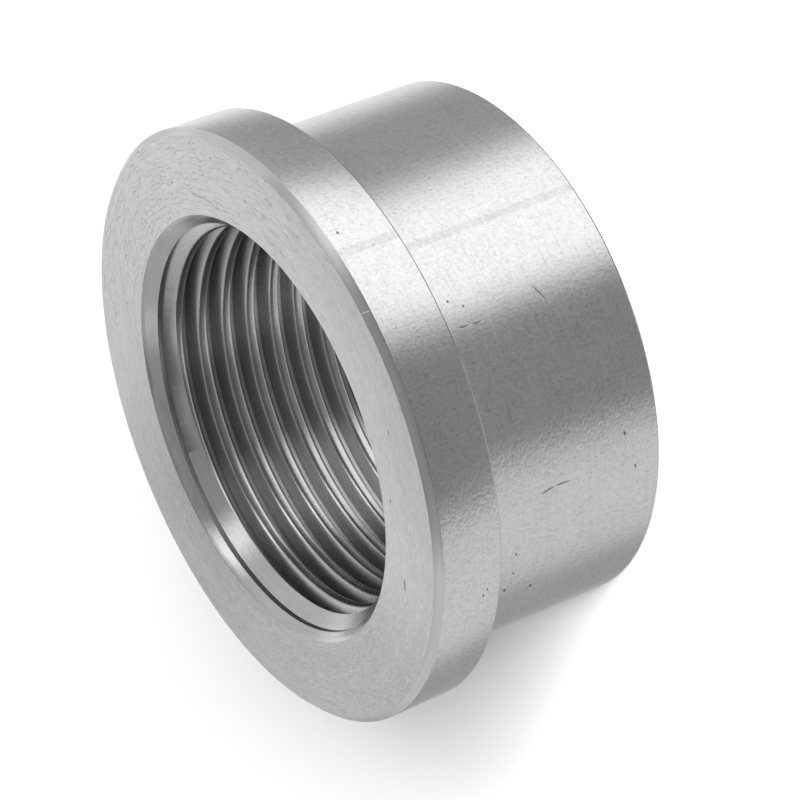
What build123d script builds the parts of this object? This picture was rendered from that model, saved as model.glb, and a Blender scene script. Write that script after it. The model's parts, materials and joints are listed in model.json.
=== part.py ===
from build123d import *
import math
import os

# A threaded weld bung turned from one piece of round bar, in millimetres.
# It stands on the end of its body, with the flange and the mouth of the bore up.
# The axis of the bore is Z. The origin is the centre of the end face of the body.

# Flange
flange_diameter = 31.8
flange_thickness = 3.75
flange_front_chamfer = 0.35
flange_back_edge_break = 0.1

# Body, the length that goes into the hole in the tube or tank
body_diameter = 28.15
body_length = 11.0
body_end_chamfer = 0.15

# Mouth of the bore, each depth measured from the flange's front face
mouth_diameter = 22.9
mouth_edge_break = 0.17
counterbore_diameter = 22.1
seat_cone_end_depth = 0.48
counterbore_end_depth = 1.0
lead_in_chamfer_angle = 60.0

# Thread M22 x 1.5, right-hand, cut in a bore that has the diameter over the thread's crests
tapping_bore_diameter = 20.6
thread_major_diameter = 22.0
thread_pitch = 1.5
thread_flank_angle = 30.0
groove_depth_at_x_axis = 2.533

# Countersink at the far end of the bore
lead_out_diameter = 22.2
lead_out_chamfer_angle = 45.0

# Heights along the axis that follow from these
shoulder_height = body_length
face_height = body_length + flange_thickness

# Radii and chamfer depths that follow from these
flange_radius = flange_diameter / 2
body_radius = body_diameter / 2
mouth_radius = mouth_diameter / 2
counterbore_radius = counterbore_diameter / 2
bore_radius = tapping_bore_diameter / 2
groove_root_radius = thread_major_diameter / 2
lead_out_radius = lead_out_diameter / 2
lead_in_depth = (counterbore_radius - bore_radius) / math.tan(math.radians(lead_in_chamfer_angle))
lead_out_depth = (lead_out_radius - bore_radius) / math.tan(math.radians(lead_out_chamfer_angle))

# The tap's tooth in section: a flat tip, straight flanks, and an inner edge that is clear of the metal
tooth_inner_radius = bore_radius - thread_pitch / 5
tooth_half_tip = thread_pitch / 16
tooth_flank_height = (groove_root_radius - tooth_inner_radius) * math.tan(math.radians(thread_flank_angle))
tooth_half_base = tooth_half_tip + tooth_flank_height

# Whole turns of the groove below and above the place where its depth is given
groove_height_at_x_axis = face_height - groove_depth_at_x_axis
turns_below = math.ceil((groove_height_at_x_axis + tooth_half_base) / thread_pitch)
turns_above = math.ceil(groove_depth_at_x_axis / thread_pitch)


def body_outline():
    """Outside of the body, from its end face up to the flange's shoulder, as (radius, height)."""
    return [
        (body_radius - body_end_chamfer, 0),
        (body_radius, body_end_chamfer),
        (body_radius, shoulder_height),
    ]


def flange_outline():
    """Outside of the flange, from its shoulder up to its front face, as (radius, height)."""
    return [
        (flange_radius - flange_back_edge_break, shoulder_height),
        (flange_radius, shoulder_height + flange_back_edge_break),
        (flange_radius, face_height - flange_front_chamfer),
        (flange_radius - flange_front_chamfer, face_height),
    ]


def bore_outline():
    """Inside of the bung, from the mouth down to the body's end face, as (radius, height)."""
    counterbore_end_height = face_height - counterbore_end_depth
    return [
        (mouth_radius, face_height),
        (mouth_radius - mouth_edge_break, face_height - mouth_edge_break),
        (counterbore_radius, face_height - seat_cone_end_depth),
        (counterbore_radius, counterbore_end_height),
        (bore_radius, counterbore_end_height - lead_in_depth),
        (bore_radius, lead_out_depth),
        (lead_out_radius, 0),
    ]


def tap_turn(start_height):
    """What the tap takes out in one turn, which starts on the X axis at this height."""
    with BuildPart() as turn:
        with BuildLine():
            Helix(pitch=thread_pitch, height=thread_pitch, radius=bore_radius, center=(0, 0, start_height))
        with BuildSketch(Plane.XZ):
            with BuildLine():
                Polyline(
                    (tooth_inner_radius, start_height - tooth_half_base),
                    (groove_root_radius, start_height - tooth_half_tip),
                    (groove_root_radius, start_height + tooth_half_tip),
                    (tooth_inner_radius, start_height + tooth_half_base),
                    close=True,
                )
            make_face()
        sweep(is_frenet=True)
    return turn.part.solid()


def make_weld_bung():
    """The bung as one solid: its half section turned about the axis of the bore, then tapped turn by turn."""
    half_section = body_outline() + flange_outline() + bore_outline()
    turn_numbers = range(-turns_below, turns_above)
    tap_turns = [tap_turn(groove_height_at_x_axis + number * thread_pitch) for number in turn_numbers]
    with BuildPart() as bung:
        with BuildSketch(Plane.XZ):
            with BuildLine():
                Polyline(*half_section, close=True)
            make_face()
        revolve(axis=Axis.Z, revolution_arc=360)
        for turn in tap_turns:
            add(turn, mode=Mode.SUBTRACT)
    return bung.part.solid()


parts = {"weld_bung": make_weld_bung()}

os.makedirs("parts", exist_ok=True)
for node_name, solid in parts.items():
    export_step(solid, "parts/" + node_name + ".step")
    print(node_name, "volume", round(solid.volume, 1), "mm3")
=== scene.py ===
import json
import math

import bpy
from mathutils import Matrix, Vector


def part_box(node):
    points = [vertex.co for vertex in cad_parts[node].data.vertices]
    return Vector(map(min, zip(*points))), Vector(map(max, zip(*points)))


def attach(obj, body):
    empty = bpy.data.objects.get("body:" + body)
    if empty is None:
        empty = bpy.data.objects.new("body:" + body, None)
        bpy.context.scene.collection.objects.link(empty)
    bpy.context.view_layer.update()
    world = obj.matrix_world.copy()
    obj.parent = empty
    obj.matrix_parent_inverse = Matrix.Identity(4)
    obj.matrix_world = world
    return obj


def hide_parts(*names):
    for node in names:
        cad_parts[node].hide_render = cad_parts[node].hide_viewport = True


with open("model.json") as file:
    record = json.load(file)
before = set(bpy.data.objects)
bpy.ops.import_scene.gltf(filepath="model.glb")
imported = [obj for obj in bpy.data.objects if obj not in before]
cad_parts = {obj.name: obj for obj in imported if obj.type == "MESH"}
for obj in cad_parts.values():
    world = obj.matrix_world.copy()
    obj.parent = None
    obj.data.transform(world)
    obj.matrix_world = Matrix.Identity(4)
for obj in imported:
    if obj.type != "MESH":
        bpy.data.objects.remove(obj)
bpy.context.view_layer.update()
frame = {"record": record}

# Sizes are in metres here, as in the frame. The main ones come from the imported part.
mm = 0.001
mounts = {mount["name"]: mount for mount in frame["record"]["mounts"]}
node_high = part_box("weld_bung")[1]
flange_radius = node_high[0]
face_height = node_high[2]
shoulder_height = mounts["flange_shoulder"]["pos_m"][2]
body_radius = mounts["body"]["dims"]["r_mm"] * mm
crest_radius = mounts["thread"]["dims"]["r_mm"] * mm

# Small forms at the edges, and the cone in the mouth as the photograph shows it
flange_front_chamfer = 0.35 * mm
flange_back_edge_break = 0.1 * mm
body_end_chamfer = 0.15 * mm
mouth_radius = 11.45 * mm
mouth_edge_break = 0.17 * mm
seat_cone_depth_per_radius = 1.11
lead_in_end_depth = 1.45 * mm
lead_out_radius = 11.1 * mm
corner_rounding = 0.04 * mm

# The counterbore is a little off centre, so its short wall lies deeper on one side of the mouth
counterbore_radius = 10.91 * mm
counterbore_offset = 0.13 * mm
counterbore_offset_azimuth = 160

# The M22 x 1.5 thread
pitch = 1.5 * mm
groove_root_radius = 11.02 * mm
groove_root_width = pitch / 8
flank_angle = math.radians(30)
crest_edge_radius = 0.28 * mm
crest_edge_steps = 5
groove_height_at_x_axis = 12.217 * mm
turns_below = 9
turns_cut = 12
groove_reach_inward = 0.6 * mm
steps_round = 360
sharp_edge_angle = math.radians(24)


def add_node(tree, kind, settings={}, inputs={}):
    """Adds a node with its settings; an input is a plain value or another node's output."""
    node = tree.nodes.new(kind)
    for name, value in settings.items():
        setattr(node, name, value)
    for socket, value in inputs.items():
        if isinstance(value, bpy.types.NodeSocket):
            tree.links.new(value, node.inputs[socket])
        else:
            node.inputs[socket].default_value = value
    return node


def linear(hex_colour):
    """An sRGB hex colour as the linear colour that a shader takes."""
    levels = [int(hex_colour[place:place + 2], 16) / 255 for place in (1, 3, 5)]
    return tuple(c / 12.92 if c <= 0.04045 else ((c + 0.055) / 1.055) ** 2.4 for c in levels) + (1.0,)


def direction(azimuth, elevation):
    """The unit vector towards an azimuth and elevation in degrees."""
    a = math.radians(azimuth)
    e = math.radians(elevation)
    return Vector((math.cos(a) * math.cos(e), math.sin(a) * math.cos(e), math.sin(e)))


def outline_object(name, points):
    """A closed outline as an object with edges only."""
    mesh = bpy.data.meshes.new(name)
    count = len(points)
    edges = [(number, (number + 1) % count) for number in range(count)]
    mesh.from_pydata([(x, y, 0) for x, y in points], edges, [])
    outline = bpy.data.objects.new(name, mesh)
    bpy.context.scene.collection.objects.link(outline)
    return outline


def half_section():
    """The bung's half section as (radius, height), anticlockwise from the body's end face."""
    seat_radius = mouth_radius - mouth_edge_break
    seat_end_depth = mouth_edge_break + (seat_radius - crest_radius) * seat_cone_depth_per_radius
    return [
        (body_radius - body_end_chamfer, 0),
        (body_radius, body_end_chamfer),
        (body_radius, shoulder_height),
        (flange_radius - flange_back_edge_break, shoulder_height),
        (flange_radius, shoulder_height + flange_back_edge_break),
        (flange_radius, face_height - flange_front_chamfer),
        (flange_radius - flange_front_chamfer, face_height),
        (mouth_radius, face_height),
        (seat_radius, face_height - mouth_edge_break),
        (crest_radius, face_height - seat_end_depth),
        (crest_radius, lead_out_radius - crest_radius),
        (lead_out_radius, 0),
    ]


def lead_in_section():
    """A countersinking tool, whose cone leaves the thread's lead-in, as (radius, height)."""
    clear_radius = mouth_radius + 1 * mm
    clear_height = face_height + 1 * mm
    tip_radius = crest_radius - 0.4 * mm
    inner_radius = crest_radius - 1.5 * mm
    lead_in_end_height = face_height - lead_in_end_depth
    return [
        (clear_radius, lead_in_end_height + clear_radius - crest_radius),
        (clear_radius, clear_height),
        (inner_radius, clear_height),
        (inner_radius, lead_in_end_height + tip_radius - crest_radius),
        (tip_radius, lead_in_end_height + tip_radius - crest_radius),
    ]


def groove_section():
    """What the tap takes out, as (radius, distance along the axis from the groove's middle).

    Its flanks end in arcs, which round the edges of the thread's crests.
    """
    flank_turn = math.radians(90) - flank_angle
    half_root = groove_root_width / 2
    arc_start_radius = crest_radius + crest_edge_radius * (1 - math.cos(flank_turn))
    arc_start = half_root + (groove_root_radius - arc_start_radius) * math.tan(flank_angle)
    half_mouth = arc_start + crest_edge_radius * math.sin(flank_turn)
    one_side = [(groove_root_radius, half_root)]
    for step in range(crest_edge_steps + 1):
        turn = flank_turn * (1 - step / crest_edge_steps)
        radius = crest_radius + crest_edge_radius * (1 - math.cos(turn))
        one_side.append((radius, half_mouth - crest_edge_radius * math.sin(turn)))
    one_side.append((crest_radius - groove_reach_inward, half_mouth))
    return one_side + [(radius, -offset) for radius, offset in reversed(one_side)]


def about_crest(points):
    """Points as the sweep takes them: outward from the crest radius, downward, and anticlockwise."""
    return [(radius - crest_radius, -height) for radius, height in reversed(points)]


def compare(tree, value, low, high):
    """A selection that is true where a value lies between two limits."""
    above = add_node(tree, "FunctionNodeCompare", {"operation": "GREATER_THAN"}, {0: value, 1: low})
    below = add_node(tree, "FunctionNodeCompare", {"operation": "LESS_THAN"}, {0: value, 1: high})
    both = add_node(tree, "FunctionNodeBooleanMath", {"operation": "AND"},
                    {0: above.outputs[0], 1: below.outputs[0]})
    return both.outputs[0]


def turn_and_tap_tree():
    """Turns a half section into a blank, taps it with a groove along a helix and gives it its finishes."""
    tree = bpy.data.node_groups.new("turn and tap", "GeometryNodeTree")
    tree.is_modifier = True
    new_socket = tree.interface.new_socket
    new_socket(name="Geometry", in_out="INPUT", socket_type="NodeSocketGeometry")
    new_socket(name="Groove Section", in_out="INPUT", socket_type="NodeSocketObject")
    new_socket(name="Lead-in Section", in_out="INPUT", socket_type="NodeSocketObject")
    new_socket(name="Counterbore Offset", in_out="INPUT", socket_type="NodeSocketVector")
    for name in ("Counterbore Radius", "Crest Radius", "Pitch", "Groove Start Height", "Corner Rounding",
                 "Face Height", "Flange Chamfer", "Flange Radius", "Body Radius"):
        new_socket(name=name, in_out="INPUT", socket_type="NodeSocketFloat")
    for name in ("Turns", "Steps Round"):
        new_socket(name=name, in_out="INPUT", socket_type="NodeSocketInt")
    for name in ("Face Finish", "Chamfer Finish", "Outside Finish", "Bore Finish", "End Finish"):
        new_socket(name=name, in_out="INPUT", socket_type="NodeSocketMaterial")
    new_socket(name="Geometry", in_out="OUTPUT", socket_type="NodeSocketGeometry")
    given = add_node(tree, "NodeGroupInput").outputs

    # The blank is the half section, with its corners rounded, turned round the axis
    section = add_node(tree, "GeometryNodeMeshToCurve", {}, {"Mesh": given["Geometry"]})
    rounded = add_node(tree, "GeometryNodeFilletCurve", {"mode": "POLY"},
                       {"Curve": section.outputs[0], "Count": 3, "Radius": given["Corner Rounding"],
                        "Limit Radius": True})
    circle = add_node(tree, "GeometryNodeCurvePrimitiveCircle", {"mode": "RADIUS"},
                      {"Resolution": given["Steps Round"], "Radius": given["Crest Radius"]})
    upright_circle = add_node(tree, "GeometryNodeSetCurveNormal", {"mode": "Z_UP"},
                              {"Curve": circle.outputs[0]})
    blank = add_node(tree, "GeometryNodeCurveToMesh", {},
                     {"Curve": upright_circle.outputs[0], "Profile Curve": rounded.outputs[0]})

    # The tap cuts the groove's section along a helix
    groove_object = add_node(tree, "GeometryNodeObjectInfo", {"transform_space": "ORIGINAL"},
                             {"Object": given["Groove Section"]})
    groove_curve = add_node(tree, "GeometryNodeMeshToCurve", {},
                            {"Mesh": groove_object.outputs["Geometry"]})
    helix_height = add_node(tree, "ShaderNodeMath", {"operation": "MULTIPLY"},
                            {0: given["Pitch"], 1: given["Turns"]})
    helix = add_node(tree, "GeometryNodeCurveSpiral", {},
                     {"Resolution": given["Steps Round"], "Rotations": given["Turns"],
                      "Start Radius": given["Crest Radius"], "End Radius": given["Crest Radius"],
                      "Height": helix_height.outputs[0], "Reverse": True})
    start_place = add_node(tree, "ShaderNodeCombineXYZ", {}, {"Z": given["Groove Start Height"]})
    placed_helix = add_node(tree, "GeometryNodeTransform", {},
                            {"Geometry": helix.outputs[0], "Translation": start_place.outputs[0]})
    upright_helix = add_node(tree, "GeometryNodeSetCurveNormal", {"mode": "Z_UP"},
                             {"Curve": placed_helix.outputs[0]})
    cutter = add_node(tree, "GeometryNodeCurveToMesh", {},
                      {"Curve": upright_helix.outputs[0], "Profile Curve": groove_curve.outputs[0],
                       "Fill Caps": True})

    # A conical tool takes out the lead-in, but only as far out as the counterbore's wall
    tool_object = add_node(tree, "GeometryNodeObjectInfo", {"transform_space": "ORIGINAL"},
                           {"Object": given["Lead-in Section"]})
    tool_curve = add_node(tree, "GeometryNodeMeshToCurve", {}, {"Mesh": tool_object.outputs["Geometry"]})
    lead_in_tool = add_node(tree, "GeometryNodeCurveToMesh", {},
                            {"Curve": upright_circle.outputs[0], "Profile Curve": tool_curve.outputs[0]})
    core = add_node(tree, "GeometryNodeMeshCylinder", {},
                    {"Vertices": given["Steps Round"], "Radius": given["Counterbore Radius"],
                     "Depth": given["Face Height"]})
    placed_core = add_node(tree, "GeometryNodeTransform", {},
                           {"Geometry": core.outputs[0], "Translation": given["Counterbore Offset"]})
    uncut, groove, lead_in, wall = [
        add_node(tree, "GeometryNodeSetMaterial", {},
                 {"Geometry": mesh.outputs[0], "Material": given["Bore Finish"]}).outputs[0]
        for mesh in (blank, cutter, lead_in_tool, placed_core)]
    counterbore = add_node(tree, "GeometryNodeMeshBoolean",
                           {"operation": "INTERSECT", "solver": "MANIFOLD"})
    for tool in (lead_in, wall):
        tree.links.new(tool, counterbore.inputs["Mesh 2"])
    bored = add_node(tree, "GeometryNodeMeshBoolean", {"operation": "DIFFERENCE", "solver": "MANIFOLD"},
                     {"Mesh 1": uncut, "Mesh 2": counterbore.outputs[0]})
    tapped = add_node(tree, "GeometryNodeMeshBoolean", {"operation": "DIFFERENCE", "solver": "MANIFOLD"},
                      {"Mesh 1": bored.outputs[0], "Mesh 2": groove})

    # The metal is smooth between its sharp edges
    edge_angle = add_node(tree, "GeometryNodeInputMeshEdgeAngle")
    sharp = add_node(tree, "FunctionNodeCompare", {"operation": "GREATER_THAN"},
                     {0: edge_angle.outputs["Unsigned Angle"], 1: sharp_edge_angle})
    smooth = add_node(tree, "GeometryNodeSetShadeSmooth", {"domain": "FACE"},
                      {"Geometry": tapped.outputs[0], "Shade Smooth": True})
    creased = add_node(tree, "GeometryNodeSetShadeSmooth", {"domain": "EDGE"},
                       {"Geometry": smooth.outputs[0], "Selection": sharp.outputs[0],
                        "Shade Smooth": False})

    # Each face takes its finish from where it lies
    position = add_node(tree, "GeometryNodeInputPosition")
    place = add_node(tree, "ShaderNodeSeparateXYZ", {}, {0: position.outputs[0]})
    flat_place = add_node(tree, "ShaderNodeCombineXYZ", {},
                          {"X": place.outputs["X"], "Y": place.outputs["Y"]})
    radius = add_node(tree, "ShaderNodeVectorMath", {"operation": "LENGTH"},
                      {0: flat_place.outputs[0]}).outputs["Value"]
    height = place.outputs["Z"]
    depth = add_node(tree, "ShaderNodeMath", {"operation": "SUBTRACT"},
                     {0: given["Face Height"], 1: height}).outputs[0]
    inside_flange = add_node(tree, "ShaderNodeMath", {"operation": "SUBTRACT"},
                             {0: given["Flange Radius"], 1: radius}).outputs[0]
    outside_body = add_node(tree, "ShaderNodeMath", {"operation": "SUBTRACT"},
                            {0: radius, 1: given["Body Radius"]}).outputs[0]
    far = 1.0
    sliver = 0.012 * mm
    on_outside = compare(tree, outside_body, -body_end_chamfer - sliver, far)
    on_face = compare(tree, depth, -far, sliver)
    on_chamfer_ring = compare(tree, inside_flange, sliver, given["Flange Chamfer"])
    above_rim = compare(tree, depth, sliver, given["Flange Chamfer"])
    on_chamfer = add_node(tree, "FunctionNodeBooleanMath", {"operation": "AND"},
                          {0: on_chamfer_ring, 1: above_rim}).outputs[0]
    on_end = compare(tree, height, -far, sliver)
    shape = add_node(tree, "GeometryNodeRealizeInstances", {}, {0: creased.outputs[0]}).outputs[0]
    for where, finish in ((on_outside, "Outside Finish"), (on_end, "End Finish"),
                          (on_face, "Face Finish"), (on_chamfer, "Chamfer Finish")):
        shape = add_node(tree, "GeometryNodeSetMaterial", {},
                         {"Geometry": shape, "Selection": where, "Material": given[finish]}).outputs[0]
    add_node(tree, "NodeGroupOutput", {}, {"Geometry": shape})
    return tree


def new_finish(name):
    """A material with an empty node tree."""
    material = bpy.data.materials.new(name)
    material.use_nodes = True
    material.node_tree.nodes.clear()
    return material


def lathe_place(tree, across):
    """Each point as x, y and what runs across the tool marks: its height, or its distance from the axis."""
    position = add_node(tree, "ShaderNodeTexCoord").outputs["Object"]
    parts = add_node(tree, "ShaderNodeSeparateXYZ", {}, {0: position}).outputs
    measure = parts["Z"]
    if across == "radius":
        flat = add_node(tree, "ShaderNodeCombineXYZ", {}, {"X": parts["X"], "Y": parts["Y"]})
        measure = add_node(tree, "ShaderNodeVectorMath", {"operation": "LENGTH"},
                           {0: flat.outputs[0]}).outputs["Value"]
    return add_node(tree, "ShaderNodeCombineXYZ", {},
                    {"X": parts["X"], "Y": parts["Y"], "Z": measure}).outputs[0]


def turned_pattern(tree, place, length, width, detail=3.0, waviness=0.0):
    """Noise drawn out round the axis: its marks have this length round it and this width across."""
    stretched = add_node(tree, "ShaderNodeVectorMath", {"operation": "MULTIPLY"},
                         {0: place, 1: (1 / length, 1 / length, 1 / width)})
    return add_node(tree, "ShaderNodeTexNoise", {},
                    {"Vector": stretched.outputs[0], "Scale": 1.0, "Detail": detail, "Roughness": 0.55,
                     "Distortion": waviness}).outputs[0]


def hairlines(tree, pattern, half_width):
    """Thin lines where a noise crosses its middle level: 1 on a line and 0 away from it."""
    away = add_node(tree, "ShaderNodeMath", {"operation": "SUBTRACT"}, {0: pattern, 1: 0.5})
    distance = add_node(tree, "ShaderNodeMath", {"operation": "ABSOLUTE"}, {0: away.outputs[0]})
    return add_node(tree, "ShaderNodeMapRange", {"interpolation_type": "SMOOTHSTEP"},
                    {"Value": distance.outputs[0], "From Min": 0.0, "From Max": half_width,
                     "To Min": 1.0, "To Max": 0.0}).outputs[0]


def weighted_sum(tree, terms):
    """Adds up values, each times its own weight; a plain number among them shifts the sum."""
    total = None
    for value, weight in terms:
        inputs = {0: value, 1: weight}
        if total is None:
            total = add_node(tree, "ShaderNodeMath", {"operation": "MULTIPLY"}, inputs).outputs[0]
        else:
            inputs[2] = total
            total = add_node(tree, "ShaderNodeMath", {"operation": "MULTIPLY_ADD"}, inputs).outputs[0]
    return total


def facing_side(tree, azimuth, half_angle, softness):
    """1 on the side of the bung that faces an azimuth, and 0 beyond the half angle and its softness."""
    position = add_node(tree, "ShaderNodeTexCoord").outputs["Object"]
    flat = add_node(tree, "ShaderNodeVectorMath", {"operation": "MULTIPLY"}, {0: position, 1: (1, 1, 0)})
    outward = add_node(tree, "ShaderNodeVectorMath", {"operation": "NORMALIZE"}, {0: flat.outputs[0]})
    along = add_node(tree, "ShaderNodeVectorMath", {"operation": "DOT_PRODUCT"},
                     {0: outward.outputs[0], 1: direction(azimuth, 0)})
    return add_node(tree, "ShaderNodeMapRange", {"interpolation_type": "SMOOTHSTEP"},
                    {"Value": along.outputs["Value"],
                     "From Min": math.cos(math.radians(half_angle + softness)),
                     "From Max": math.cos(math.radians(half_angle))}).outputs[0]


def point_on_bung(azimuth, radius, height):
    """A place from its azimuth in degrees and its radius and height in millimetres."""
    return direction(azimuth, 0) * radius * mm + Vector((0, 0, height * mm))


def damage(tree, marks):
    """The deepest of a list of marks at each point: 1 in a mark's middle and 0 off all of them."""
    reach_into_metal = 0.4 * mm
    position = add_node(tree, "ShaderNodeTexCoord").outputs["Object"]
    deepest = None
    for start, end, outward, half_width in marks:
        along = (end - start).normalized()
        across = outward.cross(along).normalized()
        turned = Matrix((along, across, along.cross(across))).transposed().to_euler()
        half_length = (end - start).length / 2 + half_width
        placed = add_node(tree, "ShaderNodeMapping", {"vector_type": "TEXTURE"},
                          {"Vector": position, "Location": (start + end) / 2, "Rotation": turned,
                           "Scale": (half_length, half_width, reach_into_metal)})
        away = add_node(tree, "ShaderNodeVectorMath", {"operation": "LENGTH"}, {0: placed.outputs[0]})
        mark = add_node(tree, "ShaderNodeMapRange", {"interpolation_type": "SMOOTHSTEP"},
                        {"Value": away.outputs["Value"], "From Min": 0.45, "From Max": 1.0,
                         "To Min": 1.0, "To Max": 0.0}).outputs[0]
        if deepest is None:
            deepest = mark
        else:
            deepest = add_node(tree, "ShaderNodeMath", {"operation": "MAXIMUM"},
                               {0: deepest, 1: mark}).outputs[0]
    return deepest


def shade_steel(material, base, dark, darkening, roughness, spread, height, bump_depth):
    """Bare steel: a value takes its colour from base to dark, and a height, in bump depths, is its bump."""
    tree = material.node_tree
    tangent = add_node(tree, "ShaderNodeTangent", {"direction_type": "RADIAL", "axis": "Z"})
    colour = add_node(tree, "ShaderNodeMix", {"data_type": "RGBA"},
                      {"Factor": darkening, 6: linear(base), 7: linear(dark)})
    bump = add_node(tree, "ShaderNodeBump", {}, {"Height": height, "Distance": bump_depth})
    shader = add_node(tree, "ShaderNodeBsdfPrincipled", {},
                      {"Base Color": colour.outputs[2], "Metallic": 1.0, "Roughness": roughness,
                       "Anisotropic": spread, "Anisotropic Rotation": 0.25,
                       "Normal": bump.outputs[0], "Tangent": tangent.outputs[0]})
    add_node(tree, "ShaderNodeOutputMaterial", {}, {"Surface": shader.outputs[0]})


def faced_steel(name, marks):
    """Stainless steel faced on a lathe: matt and pale, with thin wavy torn lines, mostly on one side."""
    material = new_finish(name)
    tree = material.node_tree
    place = lathe_place(tree, "radius")
    rings = turned_pattern(tree, place, 5 * mm, 0.3 * mm)
    fine = turned_pattern(tree, place, 0.4 * mm, 0.11 * mm, detail=2.0, waviness=0.6)
    cloud = turned_pattern(tree, place, 2.5 * mm, 1.2 * mm, detail=2.0)
    wobble = turned_pattern(tree, place, 1.1 * mm, 0.5 * mm, detail=2.0)
    from_axis = add_node(tree, "ShaderNodeSeparateXYZ", {}, {0: place}).outputs["Z"]
    ring_phase = weighted_sum(tree, ((from_axis, 1 / (0.27 * mm)), (wobble, 3.2)))
    off_line = add_node(tree, "ShaderNodeMath", {"operation": "PINGPONG"},
                        {0: ring_phase, 1: 0.5}).outputs[0]
    torn_lines = add_node(tree, "ShaderNodeMapRange", {"interpolation_type": "SMOOTHSTEP"},
                          {"Value": off_line, "From Min": 0.02, "From Max": 0.14,
                           "To Min": 1.0, "To Max": 0.0}).outputs[0]
    torn_side = facing_side(tree, -8, 22, 60)
    patches = turned_pattern(tree, place, 1.3 * mm, 0.4 * mm, detail=2.0)
    torn = weighted_sum(tree, ((patches, 1.0), (torn_side, 0.23)))
    torn_here = add_node(tree, "ShaderNodeMapRange", {"interpolation_type": "SMOOTHSTEP"},
                         {"Value": torn, "From Min": 0.64, "From Max": 0.78}).outputs[0]
    lines = add_node(tree, "ShaderNodeMath", {"operation": "MULTIPLY"},
                     {0: torn_lines, 1: torn_here}).outputs[0]
    # Painted shade: the face's colour is darker on the side towards azimuth 146
    painted_face_shade = facing_side(tree, 146, 46, 36)
    nicks = damage(tree, marks)
    height = weighted_sum(tree, ((rings, 0.5), (fine, 1.0), (lines, -1.4), (nicks, -2.5)))
    darkening = weighted_sum(tree, ((1.0, -0.38), (rings, 0.2), (fine, 0.7), (cloud, 0.14), (lines, 0.38),
                                    (painted_face_shade, 0.34), (nicks, 0.9)))
    shade_steel(material, "#dcdcde", "#87878a", darkening, 0.40, 0.35, height, 0.006 * mm)
    return material


def turned_steel(name, marks, bright_marks):
    """Fine turned stainless steel: satin, with hairlines round the axis, fine speckle and a pebbly side."""
    material = new_finish(name)
    tree = material.node_tree
    place = lathe_place(tree, "height")
    lines = turned_pattern(tree, place, 3 * mm, 0.08 * mm, detail=4.0)
    scratches = hairlines(tree, turned_pattern(tree, place, 3.5 * mm, 0.6 * mm, detail=1.0), 0.008)
    # The real grain is finer than this in places; it is drawn as coarse as the picture can show
    peel = turned_pattern(tree, place, 0.15 * mm, 0.24 * mm)
    cloud = turned_pattern(tree, place, 2.0 * mm, 1.5 * mm, detail=3.0)
    grains = turned_pattern(tree, place, 0.11 * mm, 0.11 * mm, detail=1.0)
    speckle = add_node(tree, "ShaderNodeMapRange", {"interpolation_type": "SMOOTHSTEP"},
                       {"Value": grains, "From Min": 0.60, "From Max": 0.72}).outputs[0]
    streak = facing_side(tree, -67, 0.15, 1.1)
    # Painted shade: a thin dark line along both lower edges, only on the side where the turned outside is
    # brightest
    height_up = add_node(tree, "ShaderNodeSeparateXYZ", {}, {0: place}).outputs["Z"]
    bright_side = facing_side(tree, -62, 24, 8)
    edge_lines = []
    for middle, half_width in ((body_end_chamfer / 2, 0.08 * mm), (shoulder_height + 0.05 * mm, 0.06 * mm)):
        edge_lines.append((add_node(tree, "ShaderNodeMath", {"operation": "COMPARE"},
                                    {0: height_up, 1: middle, 2: half_width}).outputs[0], 1.0))
    any_edge = weighted_sum(tree, edge_lines)
    painted_edge_shade = add_node(tree, "ShaderNodeMath", {"operation": "MULTIPLY"},
                         {0: any_edge, 1: bright_side}).outputs[0]
    pebbly = facing_side(tree, -130, 16, 8)
    wrinkles = turned_pattern(tree, place, 0.36 * mm, 0.26 * mm, detail=1.0, waviness=1.2)
    orange_peel = add_node(tree, "ShaderNodeMath", {"operation": "MULTIPLY"},
                           {0: wrinkles, 1: pebbly}).outputs[0]
    pits = damage(tree, marks)
    bright = damage(tree, bright_marks)
    height = weighted_sum(tree, ((lines, 0.25), (scratches, -0.3), (peel, 0.8), (orange_peel, 2.6),
                                 (pits, -2.5), (bright, -1.0)))
    darkening = weighted_sum(tree, ((1.0, -0.46), (lines, 0.22), (scratches, 0.12), (peel, 0.64),
                                    (cloud, 0.15), (speckle, 0.26), (streak, 0.16), (painted_edge_shade, 0.9),
                                    (pits, 0.95), (bright, -0.5)))
    shade_steel(material, "#dededf", "#77777a", darkening, 0.27, 0.80, height, 0.006 * mm)
    return material


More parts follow.
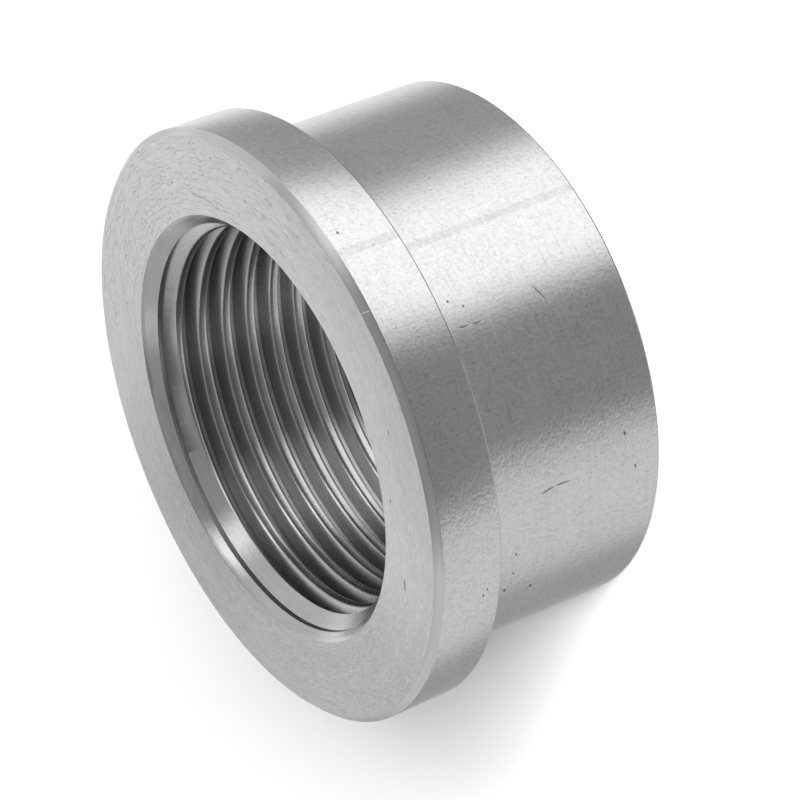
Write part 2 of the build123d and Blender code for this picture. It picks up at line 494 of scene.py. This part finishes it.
def tapped_steel(name):
    """Stainless steel cut by a tap: chatter marks across, and painted shade that makes the flanks and roots
    darker than the crests.
    """
    material = new_finish(name)
    tree = material.node_tree
    place = lathe_place(tree, "height")
    lines = turned_pattern(tree, place, 5 * mm, 0.05 * mm, detail=3.0)
    chatter = turned_pattern(tree, place, 0.35 * mm, 0.22 * mm, detail=3.0, waviness=0.5)
    cloud = turned_pattern(tree, place, 2.5 * mm, 0.8 * mm, detail=2.0)
    # Painted shade makes the groove's flanks and roots darker than the crests; the groove's run-out into the
    # mouth is left without it
    from_axis = add_node(tree, "ShaderNodeSeparateXYZ", {}, {0: lathe_place(tree, "radius")}).outputs["Z"]
    height_up = add_node(tree, "ShaderNodeSeparateXYZ", {}, {0: place}).outputs["Z"]
    deep = add_node(tree, "ShaderNodeMapRange", {"interpolation_type": "SMOOTHSTEP"},
                    {"Value": from_axis, "From Min": crest_radius + 0.06 * mm,
                     "From Max": crest_radius + 0.3 * mm}).outputs[0]
    below_mouth = add_node(tree, "ShaderNodeMath", {"operation": "LESS_THAN"},
                           {0: height_up, 1: face_height - lead_in_end_depth}).outputs[0]
    painted_groove_shade = add_node(tree, "ShaderNodeMath", {"operation": "MULTIPLY"},
                      {0: deep, 1: below_mouth}).outputs[0]
    height = weighted_sum(tree, ((lines, 0.4), (chatter, 1.0)))
    darkening = weighted_sum(tree, ((lines, 0.2), (chatter, 0.15), (cloud, 0.2), (painted_groove_shade, 0.2)))
    shade_steel(material, "#dcdcdb", "#5c5c5b", darkening, 0.25, 0.5, height, 0.004 * mm)
    return material


def parted_steel(name):
    """Stainless steel parted off the bar: coarser rings round the axis than on the faced end."""
    material = new_finish(name)
    tree = material.node_tree
    place = lathe_place(tree, "radius")
    rings = turned_pattern(tree, place, 12 * mm, 0.14 * mm, detail=2.0)
    cloud = turned_pattern(tree, place, 2.5 * mm, 1.2 * mm, detail=2.0)
    height = weighted_sum(tree, ((rings, 1.0), (cloud, 0.4)))
    darkening = weighted_sum(tree, ((rings, 0.35), (cloud, 0.12)))
    shade_steel(material, "#dededf", "#87878a", darkening, 0.34, 0.5, height, 0.006 * mm)
    return material


def chamfered_steel(name, bright_marks, painted_shade_sides):
    """The narrow turned chamfer: smoother than the face, with rings along it, a scratch, and painted shade
    and light on some sides.
    """
    material = new_finish(name)
    tree = material.node_tree
    place = lathe_place(tree, "radius")
    rings = turned_pattern(tree, place, 6 * mm, 0.06 * mm, detail=2.0)
    cloud = turned_pattern(tree, place, 1.5 * mm, 0.3 * mm, detail=3.0)
    bright = damage(tree, bright_marks)
    height = weighted_sum(tree, ((rings, 1.0), (cloud, 0.5), (bright, -1.0)))
    # Painted shade and light: some sides of the chamfer are darkened or lightened in colour
    sides = []
    for azimuth, half_angle, softness, weight in painted_shade_sides:
        sides.append((facing_side(tree, azimuth, half_angle, softness), weight))
    darkening = weighted_sum(tree, [(rings, 0.25), (cloud, 0.2), (bright, -1.2)] + sides)
    shade_steel(material, "#e6e6e7", "#868689", darkening, 0.32, 0.5, height, 0.003 * mm)
    return material


# Scratches and pits as the photograph shows them: both ends as azimuth in degrees, radius and height in mm,
# then the half width in mm
outside_marks = (
    ((-83.0, 14.075, 4.95), (-87.7, 14.075, 4.40), 0.045),
    ((-86.0, 14.075, 9.61), (-86.2, 14.075, 8.91), 0.045),
    ((-86.2, 14.075, 8.91), (-86.3, 14.075, 8.13), 0.04),
    ((-80.3, 14.075, 9.50), (-80.5, 14.075, 9.48), 0.07),
    ((-82.2, 14.075, 8.83), (-82.4, 14.075, 8.81), 0.06),
    ((-124.4, 14.075, 7.35), (-123.9, 14.075, 6.49), 0.05),
    ((-123.9, 14.075, 6.49), (-124.0, 14.075, 5.58), 0.045),
    ((-118.2, 14.075, 2.16), (-118.8, 14.075, 2.12), 0.08),
    ((-126.8, 14.075, 1.60), (-127.2, 14.075, 1.56), 0.08),
    ((-136.9, 14.075, 8.76), (-137.3, 14.075, 8.72), 0.08),
    ((-142.3, 14.075, 8.76), (-142.7, 14.075, 8.72), 0.07),
    ((-146.8, 14.075, 9.10), (-147.6, 14.075, 9.02), 0.09),
    ((-149.2, 14.075, 7.36), (-150.2, 14.075, 7.28), 0.10),
    ((-62.7, 15.9, 13.80), (-63.1, 15.9, 13.76), 0.07),
    ((-134.6, 15.9, 11.84), (-135.0, 15.9, 11.82), 0.06),
    ((-135.6, 15.9, 12.06), (-136.2, 15.9, 12.04), 0.06),
)
bright_marks = (
    ((-83.2, 14.075, 4.84), (-88.0, 14.075, 4.28), 0.035),
    ((-77.7, 14.075, 3.64), (-82.3, 14.075, 3.67), 0.03),
    ((-78.3, 14.075, 4.93), (-80.5, 14.075, 4.94), 0.03),
    ((-87.0, 14.075, 6.20), (-89.1, 14.075, 6.11), 0.03),
    ((-89.8, 14.075, 6.37), (-93.0, 14.075, 6.00), 0.025),
)
chamfer_marks = (
    ((-77.9, 15.53, 14.75), (-78.3, 15.92, 14.38), 0.035),
)
face_marks = (
    ((-135.1, 13.09, 14.75), (-138.5, 13.26, 14.75), 0.08),
    ((-11.8, 12.72, 14.75), (-17.7, 12.48, 14.75), 0.025),
    ((-17.7, 12.48, 14.75), (-23.6, 12.13, 14.75), 0.025),
    ((-5.2, 13.27, 14.75), (-6.2, 13.23, 14.75), 0.05),
    ((-25.2, 14.71, 14.75), (-26.2, 14.67, 14.75), 0.05),
    ((-116.2, 12.24, 14.75), (-117.2, 12.20, 14.75), 0.05),
    ((-99.7, 13.58, 14.75), (-100.7, 13.54, 14.75), 0.05),
)

# Painted shade on some sides of the chamfer, and painted light where the weight is below zero: azimuth,
# half angle and softness in degrees, then the weight
painted_chamfer_shade = (
    (0, 4, 12, 0.4),
    (-60, 6, 12, 0.3),
    (-146, 14, 16, -0.2),
)


def marks_on_bung(marks, outward):
    """Marks as damage takes them; outward is fixed on the face and is the radius on the turned outside."""
    placed = []
    for start, end, half_width in marks:
        away = outward or direction(start[0], 0)
        placed.append((point_on_bung(*start), point_on_bung(*end), away, half_width * mm))
    return placed


def make_weld_bung():
    """The turned and tapped bung, which stands for the CAD node."""
    bung = outline_object("turned_weld_bung", about_crest(half_section()))
    groove = outline_object("groove_section", about_crest(groove_section()))
    lead_in = outline_object("lead_in_section", about_crest(lead_in_section()))
    core_middle = Vector((0, 0, face_height))
    tree = turn_and_tap_tree()
    values = {
        "Groove Section": groove,
        "Lead-in Section": lead_in,
        "Counterbore Offset": core_middle + direction(counterbore_offset_azimuth, 0) * counterbore_offset,
        "Counterbore Radius": counterbore_radius,
        "Crest Radius": crest_radius,
        "Pitch": pitch,
        "Groove Start Height": groove_height_at_x_axis - turns_below * pitch,
        "Corner Rounding": corner_rounding,
        "Face Height": face_height,
        "Flange Chamfer": flange_front_chamfer,
        "Flange Radius": flange_radius,
        "Body Radius": body_radius,
        "Turns": turns_cut,
        "Steps Round": steps_round,
        "Face Finish": faced_steel("faced_stainless_steel", marks_on_bung(face_marks, Vector((0, 0, 1)))),
        "Chamfer Finish": chamfered_steel("chamfered_stainless_steel", marks_on_bung(chamfer_marks, None),
                                          painted_chamfer_shade),
        "Outside Finish": turned_steel("turned_stainless_steel", marks_on_bung(outside_marks, None),
                                       marks_on_bung(bright_marks, None)),
        "Bore Finish": tapped_steel("tapped_stainless_steel"),
        "End Finish": parted_steel("parted_stainless_steel"),
    }
    modifier = bung.modifiers.new("turn and tap", "NODES")
    modifier.node_group = tree
    for item in tree.interface.items_tree:
        if item.in_out == "INPUT" and item.name in values:
            modifier[item.identifier] = values[item.name]
    bpy.context.view_layer.update()
    finished = bpy.data.meshes.new_from_object(bung.evaluated_get(bpy.context.evaluated_depsgraph_get()))
    bung.modifiers.remove(modifier)
    bung.data = finished
    for section in (groove, lead_in):
        bpy.data.objects.remove(section)
    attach(bung, "root")
    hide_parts("weld_bung")


def make_floor():
    """A plain pale floor, white to the camera except in the bung's shadow."""
    half = 1.5
    floor_glow = 0.17
    mesh = bpy.data.meshes.new("floor")
    corners = [(-half, -half, 0), (half, -half, 0), (half, half, 0), (-half, half, 0)]
    mesh.from_pydata(corners, [], [(0, 1, 2, 3)])
    floor = bpy.data.objects.new("floor", mesh)
    bpy.context.scene.collection.objects.link(floor)
    material = bpy.data.materials.new("pale_floor")
    material.use_nodes = True
    tree = material.node_tree
    tree.nodes.clear()
    paths = add_node(tree, "ShaderNodeLightPath")
    diffuse = add_node(tree, "ShaderNodeBsdfDiffuse", {}, {"Color": linear("#898989")})
    glow_level = add_node(tree, "ShaderNodeMath", {"operation": "MULTIPLY"},
                          {0: paths.outputs["Is Camera Ray"], 1: floor_glow})
    glow = add_node(tree, "ShaderNodeEmission", {}, {"Strength": glow_level.outputs[0]})
    both = add_node(tree, "ShaderNodeAddShader", {}, {0: diffuse.outputs[0], 1: glow.outputs[0]})
    add_node(tree, "ShaderNodeOutputMaterial", {}, {"Surface": both.outputs[0]})
    mesh.materials.append(material)
    floor.visible_glossy = False
    floor.visible_shadow = False


def make_lamp(name, azimuth, elevation, distance, size, power):
    """A soft square lamp that looks at the bung and isn't seen in its metal."""
    lamp = bpy.data.lights.new(name, "AREA")
    lamp.shape = "SQUARE"
    lamp.size = size
    lamp.energy = power
    place = direction(azimuth, elevation)
    holder = bpy.data.objects.new(name, lamp)
    aimed = place.to_track_quat("Z", "Y").to_matrix().to_4x4()
    holder.matrix_world = Matrix.Translation(place * distance) @ aimed
    holder.visible_glossy = False
    bpy.context.scene.collection.objects.link(holder)


# Each panel's middle as azimuth and elevation, its half width, half height and softness, all in degrees,
# then its strength
studio_panels = [
    (-43, -28, 32, 34, 24, 1.15),
    (-178, -28, 32, 34, 20, 0.49),
    (128, -28, 22, 34, 20, 0.11),
    (76, -20, 24, 25, 32, 0.82),
    (15, -28, 25, 34, 20, 0.10),
    (0, -45, 200, 45, 10, 0.15),
    (0, -80, 200, 18, 15, 0.45),
    (88, 27, 33, 24, 20, 0.82),
    (22, 22, 36, 32, 20, 0.60),
    (156, 24, 34, 26, 20, 0.46),
    (-24, 44, 12, 17, 8, 1.80),
    (-92, 64, 60, 9, 8, 0.38),
    (-164, 46, 25, 12, 12, 0.36),
]
studio_base = 0.12


def make_world():
    """A plain studio: white to the camera, and soft grey and white panels in the metal's reflections."""
    world = bpy.data.worlds.new("studio")
    bpy.context.scene.world = world
    world.use_nodes = True
    tree = world.node_tree
    tree.nodes.clear()
    way = add_node(tree, "ShaderNodeTexCoord").outputs["Generated"]
    parts = add_node(tree, "ShaderNodeSeparateXYZ", {}, {0: way})
    elevation = add_node(tree, "ShaderNodeMath", {"operation": "ARCSINE"},
                         {0: parts.outputs["Z"]}).outputs[0]
    total = add_node(tree, "ShaderNodeValue").outputs[0]
    total.default_value = studio_base
    for azimuth, tilt, half_width, half_height, softness, strength in studio_panels:
        turned = add_node(tree, "ShaderNodeVectorRotate", {"rotation_type": "Z_AXIS"},
                          {"Vector": way, "Angle": -math.radians(azimuth)})
        turned_parts = add_node(tree, "ShaderNodeSeparateXYZ", {}, {0: turned.outputs[0]})
        aside = add_node(tree, "ShaderNodeMath", {"operation": "ARCTAN2"},
                         {0: turned_parts.outputs["Y"], 1: turned_parts.outputs["X"]})
        across = add_node(tree, "ShaderNodeMath", {"operation": "ABSOLUTE"}, {0: aside.outputs[0]})
        lift = add_node(tree, "ShaderNodeMath", {"operation": "SUBTRACT"},
                        {0: elevation, 1: math.radians(tilt)})
        upward = add_node(tree, "ShaderNodeMath", {"operation": "ABSOLUTE"}, {0: lift.outputs[0]})
        fades = []
        for distance, half in ((across, half_width), (upward, half_height)):
            fades.append(add_node(tree, "ShaderNodeMapRange", {"interpolation_type": "SMOOTHSTEP"},
                                  {"Value": distance.outputs[0],
                                   "From Min": math.radians(half - softness / 2),
                                   "From Max": math.radians(half + softness / 2),
                                   "To Min": 1.0, "To Max": 0.0}))
        panel = add_node(tree, "ShaderNodeMath", {"operation": "MULTIPLY"},
                         {0: fades[0].outputs[0], 1: fades[1].outputs[0]})
        scaled = add_node(tree, "ShaderNodeMath", {"operation": "MULTIPLY_ADD"},
                          {0: panel.outputs[0], 1: strength, 2: total})
        total = scaled.outputs[0]
    paths = add_node(tree, "ShaderNodeLightPath")
    chosen = add_node(tree, "ShaderNodeMix", {"data_type": "FLOAT"},
                      {0: paths.outputs["Is Camera Ray"], 2: total, 3: 1.0})
    background = add_node(tree, "ShaderNodeBackground", {},
                          {"Color": linear("#ffffff"), "Strength": chosen.outputs[0]})
    add_node(tree, "ShaderNodeOutputWorld", {}, {"Surface": background.outputs[0]})


def make_camera():
    """The camera at the photograph's angle, as its perspective gives it."""
    place = Vector((-1.18, -161.88, 90.83)) * mm
    down_angle = 27.49
    roll = -111.56
    lens = bpy.data.cameras.new("camera")
    lens.sensor_width = 36
    lens.lens = 159.03
    lens.clip_start = 0.01
    lens.clip_end = 20
    camera = bpy.data.objects.new("camera", lens)
    level = Matrix.Rotation(math.radians(90 - down_angle), 4, "X")
    camera.matrix_world = Matrix.Translation(place) @ level @ Matrix.Rotation(math.radians(roll), 4, "Z")
    bpy.context.scene.collection.objects.link(camera)
    bpy.context.scene.camera = camera


bpy.context.scene.view_settings.view_transform = "Standard"
make_camera()
make_world()
make_floor()
make_lamp("shadow_lamp", azimuth=-77, elevation=26, distance=0.7, size=0.36, power=50.0)
make_weld_bung()
